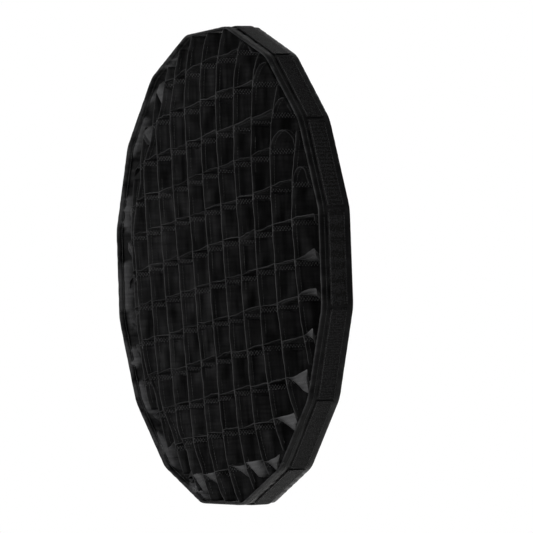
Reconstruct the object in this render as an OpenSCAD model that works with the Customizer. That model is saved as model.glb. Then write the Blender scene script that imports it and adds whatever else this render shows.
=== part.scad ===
// Fabric honeycomb grid for the mouth of a sixteen-sided softbox.
// Twelve long strips stand upright, and short cross webs are sewn between them to form square cells.
// A stiffened band closes the outline, with hook tape on its outer face.
// The cells bulge forward in the middle, because the cloth is a little larger than its border.
// Frame: X to the right, Y towards the lamp, Z up. The origin is at the centre of the band's front edge,
// in the plane of the softbox's rim.

/* [Cells] */

// Distance from one cell wall to the next
pitch = 50; // [30:1:51]

// Depth of the cloth from its front edge to its back edge
depth = 50; // [42:1:120]

// How far the middle of the grid bulges forward
bulge = 17; // [0:1:30]

// Thickness of a long strip
strip_t = 1; // [0.6:0.1:2]

// Thickness of a cross web
web_t = 0.8; // [0.5:0.1:2]

// Height of the folded end of a web, where it is sewn on
tab_h = 9; // [5:0.5:15]

// Thickness of the folded end
tab_t = 0.6; // [0.4:0.1:1.5]

// How far the folded ends stop short of the front and back edges
tab_inset = 3; // [1:0.5:5]

// Room between cloth pieces that move apart
room = 0.3; // [0.2:0.05:0.6]

/* [Border] */

// Distance across opposite corners of the border band
border_d = 656; // [600:2:1200]

// Turn of the border's panels against the cell walls, in degrees
panel_turn = -5.4; // [-11:0.1:11]

// Thickness of the border band
band_t = 1.6; // [1:0.1:4]

// Depth of the binding along the band's front edge
binding_d = 2; // [1:0.5:4]

// How far the binding stands out on each side of the band
binding_t = 0.8; // [0.4:0.1:1.5]

/* [Hook tape] */

// Width of the hook tape on the band's outer face
tape_w = 25; // [10:1:30]

// Thickness of the hook tape
tape_t = 1.6; // [1:0.1:3]

// Distance from the tape to the band's back edge
tape_back = 8; // [2:1:12]

/* [Hidden] */

strips = 12;
rows = 12;
panels = 16;
half = 180 / panels;
outer = border_d / 2 * cos(half);
inner = outer - band_t;
clear_in = inner - binding_t - room;
shortest = 6;
steps = 24;
flatness = 8;
cloth = [0.08, 0.08, 0.09];
tape = [0.05, 0.05, 0.055];
edge = [0.13, 0.13, 0.14];

// The sub-part to draw, or "all"

// Where strip k and row k stand, counted from the left and from the top
function strip_x(k) = (k - (strips + 1) / 2) * pitch;
function row_z(k) = ((rows + 1) / 2 - k) * pitch;

// The direction that panel i faces, in degrees from +X towards +Z
function faces(i) = (i - 1) * 2 * half + panel_turn;

// How far an upright line at x, or a level line at z, runs before it meets the panels of apothem a.
// side is +1 for up or right, and -1 for down or left.
function run_up(x, side, a) = min([
  for (i = [1:panels]) let (t = faces(i))
    if (side * sin(t) > 0.01) (a - x * cos(t)) / (side * sin(t))
]);
function run_out(z, side, a) = min([
  for (i = [1:panels]) let (t = faces(i))
    if (side * cos(t) > 0.01) (a - z * sin(t)) / (side * cos(t))
]);

// The same for a cloth of thickness t, which stops where its first face does
function cloth_up(x, side, t) = min(run_up(x - t / 2, side, clear_in), run_up(x + t / 2, side, clear_in));
function cloth_out(z, side, t) = min(run_out(z - t / 2, side, clear_in), run_out(z + t / 2, side, clear_in));

// Where the cloth's front edge stands at a point: at 0 on the border, and forward of it inside.
// A higher flatness keeps the bulge level up to the outer cells.
function border_share(x, z) = max([
  for (i = [1:panels]) (x * cos(faces(i)) + z * sin(faces(i))) / inner
]);
function front(x, z) = -bulge * (1 - pow(min(1, border_share(x, z)), flatness));

// Where a point lies along the panel that faces t
function along(x, z, t) = z * cos(t) - x * sin(t);

// The ends of a web: row r in column c, which lies between strips c-1 and c.
// A web meets the folded end on its own strip, and stays clear of the other one.
function own(c, side) = (side < 0 && c > 7) || (side > 0 && c < 7);
function beside(c, side) = strip_t / 2 + tab_t + (own(c, side) ? 0 : room);
function web_from(c, r) = max(
  c == 1 ? -border_d : strip_x(c - 1) + beside(c, -1),
  -cloth_out(row_z(r), -1, web_t)
);
function web_to(c, r) = min(
  c == strips + 1 ? border_d : strip_x(c) - beside(c, 1),
  cloth_out(row_z(r), 1, web_t)
);

// One long strip, cut to the border
module strip(k) {
  x = strip_x(k);
  up = cloth_up(x, 1, strip_t);
  down = cloth_up(x, -1, strip_t);
  levels = [for (i = [0:steps]) -down + (up + down) * i / steps];
  color(cloth)
    translate([x - strip_t / 2, 0, 0])
      rotate([90, 0, 90])
        linear_extrude(height = strip_t)
          polygon(concat(
            [for (z = levels) [front(x, z), z]],
            [for (i = [steps:-1:0]) [front(x, levels[i]) + depth, levels[i]]]
          ));
}

// The folded ends of the webs that are sewn on strip k, on both of its faces
module strip_tabs(k) {
  x = strip_x(k);
  low = -cloth_up(x, -1, strip_t) + 0.5;
  high = cloth_up(x, 1, strip_t) - 0.5;
  color(cloth)
    for (r = [1:rows]) {
      top = row_z(r) + web_t / 2;
      bottom = max(top - tab_h, low);
      y = front(x, top) + tab_inset;
      if (top < high && top - bottom > 3) {
        if (web_to(k, r) - web_from(k, r) > shortest)
          translate([x - strip_t / 2 - tab_t, y, bottom])
            cube([tab_t, depth - 2 * tab_inset, top - bottom]);
        if (web_to(k + 1, r) - web_from(k + 1, r) > shortest)
          translate([x + strip_t / 2, y, bottom])
            cube([tab_t, depth - 2 * tab_inset, top - bottom]);
      }
    }
}

// One column of separate cross webs
module webs(c) {
  color(cloth)
    for (r = [1:rows]) {
      a = web_from(c, r);
      b = web_to(c, r);
      ya = front(a, row_z(r));
      yb = front(b, row_z(r));
      if (b - a > shortest)
        translate([0, 0, row_z(r) - web_t / 2])
          linear_extrude(height = web_t)
            polygon([[a, ya], [b, yb], [b, yb + depth], [a, ya + depth]]);
    }
}

// A folded end that lies on the inner face of panel i, from s to s + length along it.
// It stops at the panel's ends and behind the binding.
module border_tab(i, s, length) {
  reach = inner * tan(half) - 1;
  a = max(min(s, s + length), -reach);
  b = min(max(s, s + length), reach);
  if (b - a > 3)
    rotate([0, -faces(i), 0])
      translate([inner - tab_t, tab_inset, a])
        cube([tab_t, depth - 2 * tab_inset, b - a]);
}

// The folded ends of the rows and strips, sewn on the border
module border_tabs() {
  color(cloth) {
    for (side = [-1, 1], r = [1:rows], i = [1:panels]) {
      z = row_z(r);
      x = run_out(z, side, inner);
      meets = abs(side * x * cos(faces(i)) + z * sin(faces(i)) - inner) < 0.001;
      if (meets)
        border_tab(i, along(side * x, z, faces(i)), -sign(cos(faces(i))) * tab_h);
    }
    for (side = [-1, 1], k = [1:strips], i = [1:panels]) {
      x = strip_x(k);
      z = run_up(x, side, inner);
      meets = abs(x * cos(faces(i)) + side * z * sin(faces(i)) - inner) < 0.001;
      if (meets)
        border_tab(i, along(x, side * z, faces(i)), -sign(sin(faces(i))) * tab_h);
    }
  }
}

// A bar with mitred ends along panel i, between two apothems and from y0 to y1
module bar(i, a0, a1, y0, y1) {
  t = faces(i);
  c = cos(half);
  translate([0, y1, 0])
    rotate([90, 0, 0])
      linear_extrude(height = y1 - y0)
        polygon([
          a0 / c * [cos(t - half), sin(t - half)],
          a1 / c * [cos(t - half), sin(t - half)],
          a1 / c * [cos(t + half), sin(t + half)],
          a0 / c * [cos(t + half), sin(t + half)]
        ]);
}

// One flat panel of the border band
module band(i) {
  color(cloth)
    bar(i, inner, outer, binding_d, depth);
}

// The binding that is folded over the band's front edge
module front_binding() {
  color(edge)
    for (i = [1:panels])
      bar(i, inner - binding_t, outer + binding_t, 0, binding_d);
}

// Hook tape on the band's outer face, a length on each panel
module hook_tape() {
  color(tape)
    for (i = [1:panels])
      bar(i, outer, outer + tape_t, depth - tape_back - tape_w, depth - tape_back);
}

// The named sub-parts
module strip_01() strip(1);
module strip_02() strip(2);
module strip_03() strip(3);
module strip_04() strip(4);
module strip_05() strip(5);
module strip_06() strip(6);
module strip_07() strip(7);
module strip_08() strip(8);
module strip_09() strip(9);
module strip_10() strip(10);
module strip_11() strip(11);
module strip_12() strip(12);
module tabs_01() strip_tabs(1);
module tabs_02() strip_tabs(2);
module tabs_03() strip_tabs(3);
module tabs_04() strip_tabs(4);
module tabs_05() strip_tabs(5);
module tabs_06() strip_tabs(6);
module tabs_07() strip_tabs(7);
module tabs_08() strip_tabs(8);
module tabs_09() strip_tabs(9);
module tabs_10() strip_tabs(10);
module tabs_11() strip_tabs(11);
module tabs_12() strip_tabs(12);
module web_01() webs(1);
module web_02() webs(2);
module web_03() webs(3);
module web_04() webs(4);
module web_05() webs(5);
module web_06() webs(6);
module web_07() webs(7);
module web_08() webs(8);
module web_09() webs(9);
module web_10() webs(10);
module web_11() webs(11);
module web_12() webs(12);
module web_13() webs(13);
module band_01() band(1);
module band_02() band(2);
module band_03() band(3);
module band_04() band(4);
module band_05() band(5);
module band_06() band(6);
module band_07() band(7);
module band_08() band(8);
module band_09() band(9);
module band_10() band(10);
module band_11() band(11);
module band_12() band(12);
module band_13() band(13);
module band_14() band(14);
module band_15() band(15);
module band_16() band(16);

strip_01();
strip_02();
strip_03();
strip_04();
strip_05();
strip_06();
strip_07();
strip_08();
strip_09();
strip_10();
strip_11();
strip_12();
tabs_01();
tabs_02();
tabs_03();
tabs_04();
tabs_05();
tabs_06();
tabs_07();
tabs_08();
tabs_09();
tabs_10();
tabs_11();
tabs_12();
web_01();
web_02();
web_03();
web_04();
web_05();
web_06();
web_07();
web_08();
web_09();
web_10();
web_11();
web_12();
web_13();
band_01();
band_02();
band_03();
band_04();
band_05();
band_06();
band_07();
band_08();
band_09();
band_10();
band_11();
band_12();
band_13();
band_14();
band_15();
band_16();
border_tabs();
front_binding();
hook_tape();
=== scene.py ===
"""A softbox's fabric honeycomb grid: long strips, cross webs, and a bound border band with hook tape."""

import math

import bpy
import numpy as np
from mathutils import Matrix, Vector


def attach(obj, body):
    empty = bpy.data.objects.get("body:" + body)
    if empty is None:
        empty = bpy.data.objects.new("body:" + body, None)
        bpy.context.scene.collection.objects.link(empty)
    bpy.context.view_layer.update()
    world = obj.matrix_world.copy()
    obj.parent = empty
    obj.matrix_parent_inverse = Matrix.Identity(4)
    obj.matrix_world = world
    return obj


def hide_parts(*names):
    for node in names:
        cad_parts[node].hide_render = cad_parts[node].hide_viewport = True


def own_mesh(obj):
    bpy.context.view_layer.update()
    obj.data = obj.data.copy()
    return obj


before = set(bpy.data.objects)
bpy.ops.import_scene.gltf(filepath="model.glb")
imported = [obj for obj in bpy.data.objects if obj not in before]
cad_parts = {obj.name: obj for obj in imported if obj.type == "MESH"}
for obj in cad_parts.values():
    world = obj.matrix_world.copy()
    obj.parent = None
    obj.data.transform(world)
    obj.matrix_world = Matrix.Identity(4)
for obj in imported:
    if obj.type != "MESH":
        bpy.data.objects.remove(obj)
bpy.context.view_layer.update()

# Lengths are in millimetres until a mesh is made, and angles in degrees.
PITCH = 50.0
STRIPS = ROWS = 12
PANELS = 16
HALF = 180 / PANELS
TURN = -5.4
OUTER = 328 * math.cos(math.radians(HALF))
INNER = OUTER - 1.6
DEPTH = 50.0
BULGE = 17.0  # how far the middle of the grid stands forward of its border
FLATNESS = 8  # the bulge falls off as this power of the way out to the border
TAB = 9.0  # the length of a web's folded end
TAPE_WIDTH, TAPE_BACK = 25.0, 8.0
STRIP_THICK, WEB_THICK = 0.7, 0.6
FACES = np.radians(np.arange(PANELS) * 2 * HALF + TURN)  # which way each of the border's panels faces
FACING = np.stack([np.cos(FACES), np.sin(FACES)], 1)
FLOOR_Z, FLOOR_HALF = -0.95, 9  # these two are in metres


# ---- camera, light and floor ----


def make_camera():
    """The view is from the grid's right, a little below its middle, and tilted by a few degrees."""
    azimuth, elevation, tilt = map(math.radians, (64.52, -6.28, 4.35))
    distance = 4.971
    aim = Vector((0.0308, 0.0658, -0.0047))
    back = Vector(
        (
            math.sin(azimuth) * math.cos(elevation),
            -math.cos(azimuth) * math.cos(elevation),
            math.sin(elevation),
        )
    )
    data = bpy.data.cameras.new("camera")
    data.lens = 246.9
    data.sensor_width = 36
    data.clip_end = 100
    camera = bpy.data.objects.new("camera", data)
    turned = (-back).to_track_quat("-Z", "Y").to_matrix() @ Matrix.Rotation(-tilt, 3, "Z")
    camera.matrix_world = Matrix.Translation(aim + back * distance) @ turned.to_4x4()
    bpy.context.scene.collection.objects.link(camera)
    bpy.context.scene.camera = camera


def area_light(name, place, size, power):
    """A soft light that shines on the grid's middle."""
    data = bpy.data.lights.new(name, "AREA")
    data.shape = "RECTANGLE"
    data.size = data.size_y = size
    data.energy = power
    light = bpy.data.objects.new(name, data)
    light.location = place
    light.rotation_euler = (-Vector(place)).to_track_quat("-Z", "Y").to_euler()
    light.visible_camera = False
    bpy.context.scene.collection.objects.link(light)


def make_studio():
    """A white surround, one soft light before the grid and one behind it, and a pale floor."""
    world = bpy.data.worlds.new("studio")
    world.use_nodes = True
    world.node_tree.nodes["Background"].inputs["Color"].default_value = (1, 1, 1, 1)
    world.node_tree.nodes["Background"].inputs["Strength"].default_value = 1.0
    bpy.context.scene.world = world
    bpy.context.scene.view_settings.view_transform = "Standard"
    area_light("front", (0.36, -1.5, 0.1), 0.7, 200)
    area_light("back", (-1.3, 1.9, 0.9), 1.0, 60)
    mesh = bpy.data.meshes.new("floor")
    corners = [(x * FLOOR_HALF, y * FLOOR_HALF, FLOOR_Z) for x, y in ((-1, -1), (1, -1), (1, 1), (-1, 1))]
    mesh.from_pydata(corners, [], [(0, 1, 2, 3)])
    floor = bpy.data.objects.new("floor", mesh)
    bpy.context.scene.collection.objects.link(floor)
    mesh.materials.append(plain("floor_pale", (0.8, 0.8, 0.79), 0.7))


# ---- materials ----


class Nodes:
    """A small helper for building a material's nodes."""

    def __init__(self, name):
        self.material = bpy.data.materials.new(name)
        self.material.use_nodes = True
        self.tree = self.material.node_tree
        self.shader = self.tree.nodes["Principled BSDF"]

    def add(self, kind, inputs=None, **settings):
        node = self.tree.nodes.new(kind)
        for key, value in settings.items():
            setattr(node, key, value)
        for key, value in (inputs or {}).items():
            self.put(value, node.inputs[key])
        return node

    def put(self, value, socket):
        if isinstance(value, bpy.types.NodeSocket):
            self.tree.links.new(value, socket)
        else:
            socket.default_value = value

    def math(self, operation, a, b=0.0):
        return self.add("ShaderNodeMath", {0: a, 1: b}, operation=operation).outputs[0]

    def noise(self, where, scale, detail=3.0, rough=0.5):
        inputs = {"Vector": where, "Scale": scale, "Detail": detail, "Roughness": rough}
        return self.add("ShaderNodeTexNoise", inputs).outputs["Fac"]

    def ramp(self, value, low, high, a, b):
        """value from low to high becomes a to b."""
        made = self.add(
            "ShaderNodeMapRange",
            {"Value": value, "From Min": low, "From Max": high, "To Min": a, "To Max": b},
        )
        return made.outputs["Result"]

    def place(self, scale=(1, 1, 1)):
        where = self.add("ShaderNodeTexCoord").outputs["Object"]
        return self.add("ShaderNodeMapping", {"Vector": where, "Scale": scale}).outputs["Vector"]

    def mix(self, share, a, b):
        made = self.add("ShaderNodeMix", data_type="RGBA")
        self.put(share, made.inputs["Factor"])
        self.put(a, made.inputs["A"])
        self.put(b, made.inputs["B"])
        return made.outputs["Result"]

    def bump(self, height, strength, distance, below=None):
        inputs = {"Height": height, "Strength": strength, "Distance": distance}
        made = self.add("ShaderNodeBump", inputs)
        if below is not None:
            self.put(below, made.inputs["Normal"])
        return made.outputs["Normal"]


def plain(name, colour, roughness):
    """One colour, with a little unevenness in its roughness."""
    n = Nodes(name)
    n.put((*colour, 1), n.shader.inputs["Base Color"])
    uneven = n.ramp(n.noise(n.place(), 6.0), 0.3, 0.7, roughness - 0.05, roughness + 0.05)
    n.put(uneven, n.shader.inputs["Roughness"])
    return n.material


BLACK, WORN = (0.0012, 0.0012, 0.00125, 1), (0.0052, 0.0052, 0.0053, 1)
THREAD_PITCH = 0.0007  # metres between every second thread of the weave


def cloth(name, highlight_colour, rough, across, streaks, gloss, creases=0.6):
    """Black coated nylon: a plain weave along the two axes across, soft creases, and worn streaks.
    Where the mesh's highlight attribute is 1, along a folded front edge, on a hanging web or on a
    light-catching patch of the band, it has the given highlight colour: a painted highlight."""
    n = Nodes(name)
    here = n.place()
    axes = n.add("ShaderNodeSeparateXYZ", {"Vector": here}).outputs
    a, b = (n.math("SINE", n.math("MULTIPLY", axes[k], 2 * math.pi / THREAD_PITCH)) for k in across)
    weave = n.math("MULTIPLY", a, b)
    blotch = n.noise(here, 14.0, 4.0, 0.55)
    rub = n.noise(n.place(streaks), 1.0, 5.0, 0.6)
    worn_here = n.math("MULTIPLY", n.ramp(blotch, 0.3, 0.7, 0.35, 1.0), n.ramp(rub, 0.36, 0.64, 0.0, 1.0))
    # The point attribute that says how much painted highlight the cloth has here.
    shine = n.add("ShaderNodeAttribute", attribute_name="shine").outputs["Fac"]
    highlight_here = n.math("MULTIPLY", shine, n.ramp(rub, 0.3, 0.7, 0.65, 1.0))
    lines = n.ramp(n.noise(n.place((20, 25, 330)), 1.0, 2.0, 0.5), 0.3, 0.7, 0.7, 1.3)
    threads = n.math("MULTIPLY", n.ramp(weave, -1, 1, 0.85, 1.15), lines)
    ground = n.mix(highlight_here, n.mix(worn_here, BLACK, WORN), highlight_colour)
    colour = n.add("ShaderNodeVectorMath", {0: ground, 1: threads}, operation="MULTIPLY")
    n.put(colour.outputs[0], n.shader.inputs["Base Color"])
    n.put(n.ramp(rub, 0.3, 0.7, rough - 0.07, rough + 0.07), n.shader.inputs["Roughness"])
    n.put(gloss, n.shader.inputs["Specular IOR Level"])
    fold = n.noise(n.place((22, 70, 22)), 1.0, 5.0, 0.55)
    crease = n.noise(n.place((60, 18, 60)), 1.0, 4.0, 0.6)
    creased = n.bump(n.math("ADD", fold, crease), creases, 0.0012)
    n.put(n.bump(weave, 0.25, 0.00012, creased), n.shader.inputs["Normal"])
    return n.material


def hooks(name):
    """Hook tape: close, fine hooks that stand on a darker ground."""
    n = Nodes(name)
    here = n.place()
    cells = n.add("ShaderNodeTexVoronoi", {"Vector": here, "Scale": 620.0, "Randomness": 0.55})
    stub = n.ramp(cells.outputs["Distance"], 0.15, 0.5, 1.0, 0.0)
    ground, hook = (0.0012, 0.0012, 0.0012, 1), (0.008, 0.008, 0.0084, 1)
    n.put(n.mix(stub, ground, hook), n.shader.inputs["Base Color"])
    n.put(0.03, n.shader.inputs["Specular IOR Level"])
    n.put(n.ramp(stub, 0, 1, 0.8, 0.35), n.shader.inputs["Roughness"])
    n.put(n.bump(stub, 0.9, 0.0012), n.shader.inputs["Normal"])
    return n.material


def thread(name):
    """Twisted sewing thread, a little lighter than the cloth, with painted shade in the twist's grooves and
    a painted highlight on its ridges.
    """
    n = Nodes(name)
    inputs = {"Vector": n.place(), "Scale": 900.0, "Distortion": 1.0}
    twist = n.add("ShaderNodeTexWave", inputs, bands_direction="DIAGONAL").outputs["Fac"]
    # Painted shade in the grooves and painted highlight on the ridges of the twist.
    shaded_groove, lit_ridge = (0.0035, 0.0035, 0.0036, 1), (0.013, 0.013, 0.0135, 1)
    n.put(n.mix(twist, shaded_groove, lit_ridge), n.shader.inputs["Base Color"])
    n.put(0.42, n.shader.inputs["Roughness"])
    n.put(0.15, n.shader.inputs["Specular IOR Level"])
    n.put(n.bump(twist, 0.5, 0.0002), n.shader.inputs["Normal"])
    return n.material


# ---- meshes ----


class Mesh:
    """Collects the points of one object, in millimetres, its faces, and how much painted highlight each
    point has.
    """

    def __init__(self):
        self.points, self.faces, self.shine, self.count = [], [], [], 0

    def add(self, points, faces, shine=0.0):
        points = np.asarray(points, float).reshape(-1, 3)
        self.points.append(points)
        self.shine.append(np.broadcast_to(np.asarray(shine, float).reshape(-1), (len(points),)))
        self.faces += [tuple(i + self.count for i in face) for face in faces]
        self.count += len(points)

    def make(self, name, material, body, slot):
        mesh = bpy.data.meshes.new(name)
        mesh.from_pydata((np.concatenate(self.points) / 1000).tolist(), [], self.faces)
        # Stored as a point attribute, which the cloth material reads as painted highlight.
        shine = mesh.attributes.new("shine", "FLOAT", "POINT")
        shine.data.foreach_set("value", np.concatenate(self.shine))
        mesh.validate()
        mesh.polygons.foreach_set("use_smooth", [True] * len(mesh.polygons))
        mesh.materials.append(material)
        made = bpy.data.objects.new(name, mesh)
        bpy.context.scene.collection.objects.link(made)
        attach(made, body)
        return made


def wander(x, seed, length, octaves=3):
    """A smooth random curve of x, about -1 to 1, whose swings are about length apart."""
    r = np.random.default_rng(seed)
    total = np.zeros_like(np.asarray(x, float))
    for k in range(octaves):
        turns = 2 * np.pi * np.asarray(x, float) * 2**k / length
        total += 0.55**k * np.sin(turns * r.uniform(0.8, 1.2) + r.uniform(0, 6.28))
    return total / 1.6


def cross_section(thick, hem_thick, hem, y1, between, y0=0.0):
    """The outline of a hemmed cloth as (off the middle, y) points: front edge, right face, back, left face.
    Between the hems it has that many rows of points, so that it can fold."""
    nose, h, flat = hem_thick * 0.3, hem_thick / 2, thick / 2
    side = [(nose, y0), (h, y0 + 0.25), (h, y0 + 0.5), (h, y0 + 2.4)]
    side += [(h, y0 + hem - 0.4), (flat, y0 + hem + 0.3)]
    side += [(flat, y) for y in np.linspace(y0 + hem, y1 - hem, between + 2)[1:-1]]
    side += [(flat, y1 - hem - 0.3), (h, y1 - hem + 0.4), (h, y1 - 0.4), (nose, y1)]
    return np.array(side + [(-n, y) for n, y in side[::-1]])


def fold_highlight(outline):
    """How much painted highlight a cloth has at each point of its outline: along the fold at its front edge,
    in place of the light that the fold catches.
    """
    return np.clip((0.8 - outline[:, 1]) / 0.5, 0, 1)


def normals(path, closed=False):
    """Unit normals of a path in the XZ plane, to the right of its direction."""
    if closed:
        ahead = np.roll(path, -1, 0) - np.roll(path, 1, 0)
    else:
        ahead = np.gradient(path, axis=0)
    ahead /= np.maximum(np.linalg.norm(ahead, axis=1), 1e-9)[:, None]
    return np.stack([ahead[:, 1], -ahead[:, 0]], 1)


def sweep(mesh, path, outline, off=0.0, deep=0.0, shift=(0, 0), shine=0.0, closed=False, within=None):
    """Adds a cloth that follows path (x, z) with the given outline.
    off, deep and shift push its points off the middle, along y, and along x and z.
    Nothing goes further out than the panels of a border whose apothem is within."""
    side = normals(path, closed)
    n, m = len(path), len(outline)
    out = outline[None, :, 0] + off
    points = np.zeros((n, m, 3))
    points[..., 0] = path[:, None, 0] + side[:, None, 0] * out + shift[0]
    points[..., 2] = path[:, None, 1] + side[:, None, 1] * out + shift[1]
    points[..., 1] = outline[None, :, 1] + deep
    if within:
        reach = points[..., [0, 2]] @ FACING.T
        outside = np.maximum(0, reach.max(-1) - within)[..., None]
        points[..., [0, 2]] -= outside * FACING[reach.argmax(-1)]
    faces = []
    for i in range(n if closed else n - 1):
        j = (i + 1) % n
        faces += [(i * m + k, i * m + (k + 1) % m, j * m + (k + 1) % m, j * m + k) for k in range(m)]
    if not closed:
        faces += [tuple(range(m)[::-1]), tuple((n - 1) * m + k for k in range(m))]
    mesh.add(points, faces, np.broadcast_to(shine, (n, m)))


def steps(path):
    """How long each step of a path is."""
    return np.linalg.norm(np.diff(path, axis=0), axis=1)


def distances(path):
    """How far along a path each of its points is."""
    return np.concatenate([[0], np.cumsum(steps(path))])


def along_path(path, step):
    """The path again, with even steps of about that length, and how far along it each point is."""
    far = distances(path)
    at = np.linspace(0, far[-1], max(2, round(far[-1] / step) + 1))
    return np.stack([np.interp(at, far, path[:, k]) for k in (0, 1)], 1), at


def stitch(mesh, a, b, up, radius=0.22):
    """Adds one short stitch from a to b that stands up off the cloth: a flat-bottomed, rounded bar."""
    a, b, up = (np.asarray(v, float) for v in (a, b, up))
    along = b - a
    side = np.cross(along, up)
    side /= max(np.linalg.norm(side), 1e-9)
    ring = [side * radius, side * radius * 0.5 + up * radius]
    ring += [-side * radius * 0.5 + up * radius, -side * radius]
    points = [a + r * 0.5 for r in ring] + [a + along * 0.25 + r for r in ring]
    points += [a + along * 0.75 + r for r in ring] + [b + r * 0.5 for r in ring]
    faces = []
    for i in (0, 4, 8):
        faces += [(i + k, i + (k + 1) % 4, i + 4 + (k + 1) % 4, i + 4 + k) for k in range(4)]
    faces += [(3, 2, 1, 0), (12, 13, 14, 15)]
    mesh.add(points, faces)


# ---- where the cloth lies ----


def over(x, z, apothem):
    """How far a point stands outside the border's sides, in millimetres; below 0 inside them."""
    return (np.stack([np.asarray(x, float), np.asarray(z, float)], -1) @ FACING.T).max(-1) - apothem


def front(x, z):
    """Where the grid's front stands, in y: level with the band at the border, and forward of it inside."""
    share = np.clip(over(x, z, 0.0) / INNER, 0, 1)
    return -BULGE * (1 - share**FLATNESS)


def set_back(x, z):
    """How far the cloth's edges stand back from there, near the border's left side."""
    share = np.clip(over(x, z, 0.0) / INNER, 0, 1)
    near = np.clip((share - 0.74) / 0.12, 0, 1)
    return 13 * np.clip(-np.asarray(x, float) / 180, 0, 1) * near**2 * (3 - 2 * near)


def edges(x, z):
    """Where a cloth's front and back edges stand, in y. The back edge stays inside the band."""
    ahead, sag = front(x, z), set_back(x, z)
    return ahead + sag, ahead + DEPTH + np.minimum(sag, -ahead)


def depth(path, outline, flutter):
    """How far to push each point of a cloth along y, so that it lies between those edges.
    flutter moves its front edge by a little more."""
    share = outline[:, 1] / DEPTH
    ahead, behind = edges(path[:, 0], path[:, 1])
    return (ahead + flutter)[:, None] * (1 - share) + (behind - DEPTH)[:, None] * share


def bow(x, z):
    """How far the long strips bow to the right: at their ends, and most of all up at the right."""
    return -2 + 4 * (z / 250) ** 2 + 14 * np.maximum(0, (x + z) / 400) ** 2


def strip_line(k):
    """Where strip k would stand, in x, if it were straight."""
    return (k - (STRIPS + 1) / 2) * PITCH


def row_z(r):
    """Where row r of the webs lies. Row 1 is the top one."""
    return ((ROWS + 1) / 2 - r) * PITCH


def strip_x(k, z):
    """The middle of strip k at height z, with its bow and with small kinks at the rows."""
    x = strip_line(k)
    kinks = np.random.default_rng(40 + k).uniform(-1.5, 1.5, ROWS + 2)
    rows = row_z(np.arange(ROWS + 1, -1, -1))
    return x + bow(x, z) + np.interp(z, rows, kinks)


def strip_path(k):
    """The middle of strip k from its lower to its upper end."""
    z = np.arange(-330, 330, 0.5)
    x = strip_x(k, z)
    inside = over(x, z, INNER - 1.2) < 0
    return np.stack([x[inside], z[inside]], 1)


def border_x(z, side):
    """Where a level line at z meets the border's inner face."""
    turned = FACES[np.cos(FACES) * side > 0.02]
    return side * min((INNER - z * math.sin(t)) / abs(math.cos(t)) for t in turned)


# ---- strips ----

STRIP_OUTLINE = cross_section(STRIP_THICK, 0.9, 6.5, DEPTH, 7)


def make_strips(material, seams):
    """The long strips, with soft folds that flatten where the rows of webs hold them."""
    share = STRIP_OUTLINE[:, 1] / DEPTH
    for k in range(1, STRIPS + 1):
        path, _ = along_path(strip_path(k), 3.5)
        z = path[:, 1]
        # Soft folds run up the strip, and flatten where the rows of webs hold it.
        held = 0.35 + 0.65 * np.abs(np.sin(np.pi * (z - row_z(1)) / PITCH)) ** 0.7
        turn = wander(z, 130 + k, 200)[:, None] * 1.5
        fold = wander(z, 100 + k, 120)[:, None] * np.sin(2 * np.pi * share * 1.6 + turn)
        ripple = 0.15 * wander(z, 160 + k, 34)[:, None]
        off = (2.0 * fold * np.sin(np.pi * share) ** 0.7 + ripple) * held[:, None]
        deep = depth(path, STRIP_OUTLINE, 0.5 * wander(z, 190 + k, 60))
        mesh = Mesh()
        # The strip's folded front edge gets a painted highlight.
        sweep(mesh, path, STRIP_OUTLINE, off, deep, shine=fold_highlight(STRIP_OUTLINE), within=INNER - 0.6)
        strip = mesh.make(f"strip_cloth_{k:02d}", material, f"wall_{k:02d}", "cloth")
        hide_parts(f"strip_{k:02d}")
        for piece in (strip, seams[k]):
            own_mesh(piece)


# ---- cross webs ----

WEB_OUTLINE = cross_section(WEB_THICK, 0.8, 6.0, DEPTH, 5)
NEAR_BORDER = 12.0  # a web with an end this near the border is slack
SHORTEST_WEB = 9.0
MIDDLE_COLUMN = 7
STRIP_GAP, BORDER_GAP = 0.75, 0.9  # from a folded end's middle to a strip's, and to the border's inner face


def web_seed(kind, c, r):
    """The seed for one kind of unevenness of the web in row r of column c."""
    return kind + 20 * c + r


def slack(c, r, at_right, z):
    """How a web near the border lies: how high it arches, how far it rises, and how far its back hangs."""
    g = np.random.default_rng(web_seed(9000, c, r))
    if at_right and z > 60:
        return g.uniform(15, 21), g.uniform(-2, 2), 0.0
    if at_right and z > 0:
        return g.uniform(-1, 2), g.uniform(2, 5), g.uniform(0, 4)
    if at_right and z > -90:
        return g.uniform(-1, 2), g.uniform(3, 6), g.uniform(10, 16)
    if at_right:
        return g.uniform(-2, 2), g.uniform(4, 8), g.uniform(30, 40)
    return g.uniform(-4, 4), g.uniform(-5, 2), g.uniform(12, 26) * (1 if r % 3 else -1)


def web_span(c, r, g):
    """The left and right ends of the web in row r of column c, which is between strips c-1 and c, as (x, z).
    Also which of them are on a strip, and how far each is from the border."""
    z = row_z(r)
    left, right = z + g.uniform(-2.4, 2.4), z + g.uniform(-2.4, 2.4)
    x0 = strip_x(c - 1, left) + STRIP_GAP if c > 1 else -math.inf
    x1 = strip_x(c, right) - STRIP_GAP if c <= STRIPS else math.inf
    edge0, edge1 = border_x(left, -1) + BORDER_GAP, border_x(right, 1) - BORDER_GAP
    held = x0 > edge0, x1 < edge1
    x0, x1 = max(x0, edge0), min(x1, edge1)
    return (x0, left), (x1, right), held, (x0 - edge0, edge1 - x1)


def tab_path(x, top, out, lean):
    """A folded end, from its top down. It starts in a small round and leans as the border's panel does."""
    down = np.array([0.4, 1.0, 2.2, 5.0, TAB])
    return np.stack([x + out * np.array([0.55, 0.12, 0, 0, 0]) + lean * down, top - down], 1)


def panel_at(x, z):
    """Which way the border's panel that is nearest to a point faces."""
    return FACES[np.argmax(np.array([x, z]) @ FACING.T)]


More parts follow.
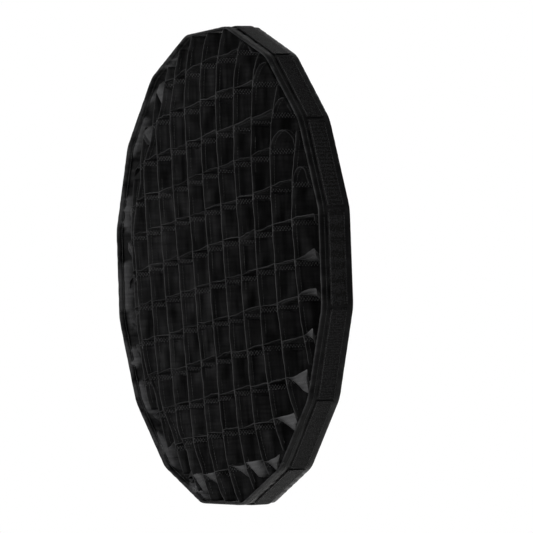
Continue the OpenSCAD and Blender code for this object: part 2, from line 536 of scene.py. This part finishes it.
def web_path(c, r):
    """The path of a web: up a tab, across, and down a tab. Also which of its ends are on a strip,
    how far its back hangs below its front along it, and the slope that a hanging back slides down."""
    g = np.random.default_rng(web_seed(1000, c, r))
    (x0, left), (x1, right), (on_left, on_right), (room_left, room_right) = web_span(c, r, g)
    if x1 - x0 < SHORTEST_WEB:
        return None
    u = np.linspace(0, 1, 25)
    lift = g.uniform(-1.8, 1.2) * np.sin(np.pi * u) + 0.35 * wander(u, web_seed(3000, c, r), 1.3, 2)
    hang = g.uniform(-3, 3) * (1 - u) + g.uniform(-3, 3) * u
    near_right = room_right < NEAR_BORDER
    if near_right or room_left < NEAR_BORDER:
        arch, rise, drop = slack(c, r, near_right, row_z(r))
        wide = min(1.0, (x1 - x0) / 30)
        towards = u if near_right else 1 - u
        lift = lift + wide * (arch * np.sin(np.pi * u) ** 0.55 + rise * towards)
        hang = wide * drop * towards**0.8
    elif r == ROWS:
        # The backs of some of the lowest webs belly out, most of all at two thirds of their length.
        towards = u if g.random() < 0.6 else 1 - u
        hang = hang + max(0, g.uniform(-12, 28)) * 2.6 * towards * np.sqrt(1 - towards)
    across = np.stack([x0 + 1.2 + (x1 - x0 - 2.4) * u, left + (right - left) * u + lift], 1)
    leans = []
    for held, x, top in ((on_left, x0, left), (on_right, x1, right)):
        t = panel_at(x, top)
        leans.append(0.0 if held or abs(math.cos(t)) < 0.02 else max(-1.2, min(1.2, math.tan(t))))
    start = tab_path(x0, across[0, 1], 1, leans[0])[::-1]
    finish = tab_path(x1, across[-1, 1], -1, leans[1])
    hang = np.concatenate([np.full(len(start), hang[0]), hang, np.full(len(finish), hang[-1])])
    slope = panel_at(x1, right) if near_right and not on_right else 0.0
    return np.concatenate([start, across, finish]), (on_left, on_right), hang, slope


def own_body(c):
    """The body a column of webs rides on, its joint, and the x it closes towards."""
    if c == MIDDLE_COLUMN:
        return "border", "close_12", 0.0
    k = c if c < MIDDLE_COLUMN else c - 1
    return f"wall_{k:02d}", f"close_{k:02d}", strip_line(k)


def hem_seam(mesh, path, deep, off, rise, y):
    """A straight seam along a cloth's front hem, on both of its faces."""
    side = normals(path)
    for i in range(5, len(path) - 7, 2):
        a = np.array([path[i, 0], y + deep[i], path[i, 1] + rise[i]])
        b = np.array([path[i + 1, 0], y + deep[i + 1], path[i + 1, 1] + rise[i + 1]])
        for sign in (1, -1):
            up = np.array([side[i, 0], 0, side[i, 1]]) * sign
            lift = up * (0.5 + sign * off[i])
            stitch(mesh, a + lift, a + (b - a) * 1.45 + lift, up, 0.15)


def make_web(mesh, seams, c, r, found):
    """Adds one web and the seam of its hem. Returns the path of its cloth, and how long that is."""
    shape, _, hang, slope = found
    share = WEB_OUTLINE[:, 1] / DEPTH
    path, s = along_path(shape, 1.9)
    hang = np.interp(s, distances(shape), hang)[:, None]
    middle = np.sin(np.pi * np.clip((s - TAB) / max(s[-1] - 2 * TAB, 1), 0, 1)) ** 0.8
    fold = 0.9 * wander(s, web_seed(5000, c, r), 40)[:, None] * np.cos(3.5 * share + c * r)
    off = fold * middle[:, None]
    deep = depth(path, WEB_OUTLINE, 0.35 * wander(s, web_seed(7000, c, r), 30))
    back = hang * np.minimum(1, WEB_OUTLINE[:, 1] / 13) ** 0.85
    shift = back * math.sin(slope), -back * math.cos(slope)
    # Painted highlight: full on the tilted back of a web that hangs, and a little along its front fold.
    hang_highlight = np.clip(hang / 16 - 0.25, 0, 1)
    shine = np.maximum(fold_highlight(WEB_OUTLINE) * 0.15, hang_highlight)
    sweep(mesh, path, WEB_OUTLINE, off, deep, shift, shine, within=INNER - 0.4)
    hem_seam(seams, path, deep[:, 3], off[:, 3], shift[1][:, 4], 5.4)
    return path, s[-1]


def make_webs(material, sewing):
    """The cross webs, a column at a time. Returns where each strip's folded ends are, and on which side."""
    ends = {}
    for c in range(1, STRIPS + 2):
        mesh, seams, total = Mesh(), Mesh(), 0.0
        for r in range(1, ROWS + 1):
            found = web_path(c, r)
            if found is None:
                continue
            path, length = make_web(mesh, seams, c, r, found)
            total += length
            on_left, on_right = found[1]
            if on_left:
                ends.setdefault(c - 1, []).append((path[0], 1))
            if on_right:
                ends.setdefault(c, []).append((path[-1], -1))
        body, joint, anchor = own_body(c)
        web = mesh.make(f"web_cloth_{c:02d}", material, body, "cloth")
        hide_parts(f"web_{c:02d}", *([f"tabs_{c:02d}"] if c <= STRIPS else []))
        seam = seams.make(f"web_seams_{c:02d}", sewing, body, "cloth")
        for piece in (web, seam):
            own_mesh(piece)
    return ends


def make_strip_seams(ends, sewing):
    """Crossed stitches through each folded end, and a straight seam along each strip's front hem."""
    wide, tall = 4.3, 5.4  # each crossed stitch
    made = {}
    for k in range(1, STRIPS + 1):
        mesh = Mesh()
        for foot, sign in ends.get(k, []):
            up = np.array([sign, 0, 0])
            g = np.random.default_rng(int(abs(foot[0] * 7 + foot[1] * 13)))
            x, z = foot[0] + sign * 0.32, foot[1] + 1.4
            ahead, behind = edges(*foot)
            for y in np.arange(ahead + 1.4, behind - 4.5, wide):
                y += g.uniform(-0.15, 0.15)
                for a, b in ((0, tall), (tall, 0)):
                    stitch(mesh, (x, y, z + a), (x, y + wide, z + b), up, 0.17)
                # The thread is bulkier where it goes through the cloth and where it crosses.
                for along, a in ((0, 0), (0.5, tall / 2), (0, tall)):
                    knot = y + along * wide
                    stitch(mesh, (x, knot - 0.6, z + a), (x, knot + 0.6, z + a), up, 0.42)
        path, _ = along_path(strip_path(k), 1.95)
        ahead, _ = edges(path[:, 0], path[:, 1])
        hem_seam(mesh, path, ahead, np.zeros(len(path)), np.zeros(len(path)), 5.9)
        made[k] = mesh.make(f"strip_seams_{k:02d}", sewing, f"wall_{k:02d}", "cloth")
    return made


# ---- border ----


def border_path(apothem, bend=9.0, step=3.0):
    """The border's outline at an apothem: straight panels with softly rounded corners."""
    half = math.radians(HALF)
    corners = [apothem / math.cos(half) * np.array([math.cos(t + half), math.sin(t + half)]) for t in FACES]
    points = []
    for i, corner in enumerate(corners):
        before, after = corners[i - 1] - corner, corners[(i + 1) % PANELS] - corner
        before, after = before / np.linalg.norm(before), after / np.linalg.norm(after)
        for u in np.linspace(0, 1, 5):
            points.append(corner + before * bend * (1 - u) ** 2 + after * bend * u**2)
    points = np.array(points + points[:1])
    path, s = along_path(points, step)
    return path[:-1], s[:-1]


def edge_back(path):
    """How far the band's front edge stands back: forward at the left, and back at the right."""
    return 4.5 * path[:, 0] / INNER


def puckers(s, seed):
    """Fine gathers across the band, which come and go round it."""
    strength = np.clip(0.5 + wander(s, seed, 210), 0.1, 1.3)
    return strength * (0.5 * wander(s, seed + 1, 17, 2) + 0.25 * wander(s, seed + 2, 7, 2))


def facets(s, y, seed):
    """Which parts of a gathered cloth catch the light, 0 to 1, as slanting patches with firm edges: where it
    gets a painted highlight.
    """
    slant = wander(s + 1.4 * y, seed, 150, 2) + 0.8 * wander(s - 1.1 * y, seed + 1, 85, 2)
    return np.clip(0.62 + 3.5 * slant, 0, 1)


def make_band(path, s, material):
    """The band itself, gathered by the cloth that is sewn on it. Its inner face has painted highlights in
    slanting patches, which fade to painted shade deeper in.
    """
    outline = cross_section(1.3, 1.6, 5.0, DEPTH, 7, 0.6)
    loose = np.sin(np.pi * outline[:, 1] / DEPTH) ** 0.6
    # Painted highlight patches, faded to a tenth between about 10 and 24 mm deep: painted shade deeper into
    # the grid.
    lit = facets(s[:, None], outline[:, 1], 31) * np.clip(1.6 - outline[:, 1] / 16, 0.1, 1)
    off = 1.3 * lit * loose - 1.3 * puckers(s, 11)[:, None] * (0.35 + 0.65 * loose)
    deep = edge_back(path)[:, None] * (1 - outline[:, 1] / DEPTH)
    mesh = Mesh()
    # Only the inner face gets the painted highlight.
    sweep(mesh, path, outline, off, deep, shine=(outline[:, 0] > 0) * lit, closed=True)
    band = mesh.make("band_cloth", material, "border", "cloth")
    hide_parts(*[f"band_{i:02d}" for i in range(1, PANELS + 1)], "border_tabs")
    return band


def make_binding(path, s, material):
    """The binding: a tape folded over the band's front edge."""
    b = 0.8
    fold = [(b + 0.75, 9.0), (b + 0.8, 1.6), (b + 0.55, 0.5), (b * 0.6, 0.1), (0, 0)]
    fold += [(-n, y) for n, y in fold[-2::-1]]
    inside = [(-b - 0.1, 9.0), (-b - 0.1, 0.9), (b + 0.1, 0.9), (b + 0.1, 9.0)]
    outline = np.array(fold + inside)
    deep = (edge_back(path) + 0.35 * np.abs(wander(s, 21, 60)))[:, None] * np.ones(len(outline))
    # Painted highlight on the binding's inner face, back from its fold, in the band's slanting patches.
    lit = np.where(outline[:, 0] > 0, np.clip(outline[:, 1] / 2 - 0.4, 0, 1), 0)
    shine = lit * facets(s[:, None], outline[:, 1], 31)
    mesh = Mesh()
    sweep(mesh, path, outline, -0.32 * puckers(s, 11)[:, None], deep, shine=shine, closed=True)
    binding = mesh.make("edge_binding", material, "border", "binding")
    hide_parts("front_binding")
    return binding


def make_tape(material, long):
    """Hook tape, in lengths that stop short of each corner."""
    mesh = Mesh()
    back = DEPTH - TAPE_BACK
    outline = cross_section(1.3, 0.9, 2.5, back, 5, back - TAPE_WIDTH)
    for t in FACES:
        across = np.linspace(-long, long, 46)
        line = (OUTER + 0.85) * np.array([math.cos(t), math.sin(t)])
        line = line + across[:, None] * np.array([-math.sin(t), math.cos(t)])
        sweep(mesh, line, outline, -0.12 * wander(across, int(t * 100) % 997, 40)[:, None])
    tape = mesh.make("hook_tape_cloth", material, "border", "tape")
    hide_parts("hook_tape")
    return tape


def make_border_seams(path, sewing, long):
    """Straight seams: one on each face of the binding, and one on each edge of the hook tape."""
    mesh = Mesh()
    side, y = normals(path), 7.6 + edge_back(path)
    for i in range(0, len(path) - 1):
        a, d = path[i], path[i + 1] - path[i]
        for sign in (1, -1):
            n = side[i] * sign
            p, q = a + n * 1.6, a + d * 0.8 + n * 1.6
            stitch(mesh, (p[0], y[i], p[1]), (q[0], y[i], q[1]), (n[0], 0, n[1]), 0.2)
    for t in FACES:
        out = np.array([math.cos(t), math.sin(t)])
        run = np.array([-math.sin(t), math.cos(t)])
        for v in np.arange(-long + 2, long - 4, 3.4):
            for y in (DEPTH - TAPE_BACK - 1.6, DEPTH - TAPE_BACK - TAPE_WIDTH + 1.6):
                p, q = out * (OUTER + 1.45) + run * v, out * (OUTER + 1.45) + run * (v + 2.5)
                stitch(mesh, (p[0], y, p[1]), (q[0], y, q[1]), (out[0], 0, out[1]), 0.2)
    return mesh.make("border_seams", sewing, "border", "cloth")


def make_border(band_material, binding_cloth, tape_material, sewing):
    """The band, its binding, its hook tape and their seams."""
    path, s = border_path(OUTER - 0.8)
    path = path[::-1]
    long = (OUTER + 0.8) * math.tan(math.radians(HALF)) - 2.0
    band = make_band(path, s, band_material)
    binding = make_binding(path, s, binding_cloth)
    tape = make_tape(tape_material, long)
    seams = make_border_seams(path, sewing, long)
    for piece in (band, binding, tape, seams):
        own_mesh(piece)


make_camera()
make_studio()
# How fine the streaks of wear are along x, y and z. They run along the axis with the smallest number.
UPRIGHT, LEVEL, AROUND = (30, 110, 10), (10, 110, 30), (60, 20, 60)
# Painted highlight colours: the strips' front folds, the hanging webs, and the lit patches of the band and
# binding.
STRIP_FOLD_HIGHLIGHT, WEB_HIGHLIGHT = (0.0045, 0.0045, 0.0046, 1), (0.0085, 0.0085, 0.0087, 1)
BAND_HIGHLIGHT = (0.0175, 0.0175, 0.018, 1)
wall_cloth = cloth("strip_nylon", STRIP_FOLD_HIGHLIGHT, 0.5, (1, 2), UPRIGHT, 0.015)
web_cloth = cloth("web_nylon", WEB_HIGHLIGHT, 0.48, (0, 1), LEVEL, 0.005)
band_material = cloth("band_nylon", BAND_HIGHLIGHT, 0.38, (1, 2), AROUND, 0.03, creases=0.9)
binding_cloth = cloth("binding_nylon", BAND_HIGHLIGHT, 0.45, (1, 2), AROUND, 0.01, creases=0.5)
sewing = thread("sewing_thread")
web_ends = make_webs(web_cloth, sewing)
make_strips(wall_cloth, make_strip_seams(web_ends, sewing))
make_border(band_material, binding_cloth, hooks("hook_tape"), sewing)
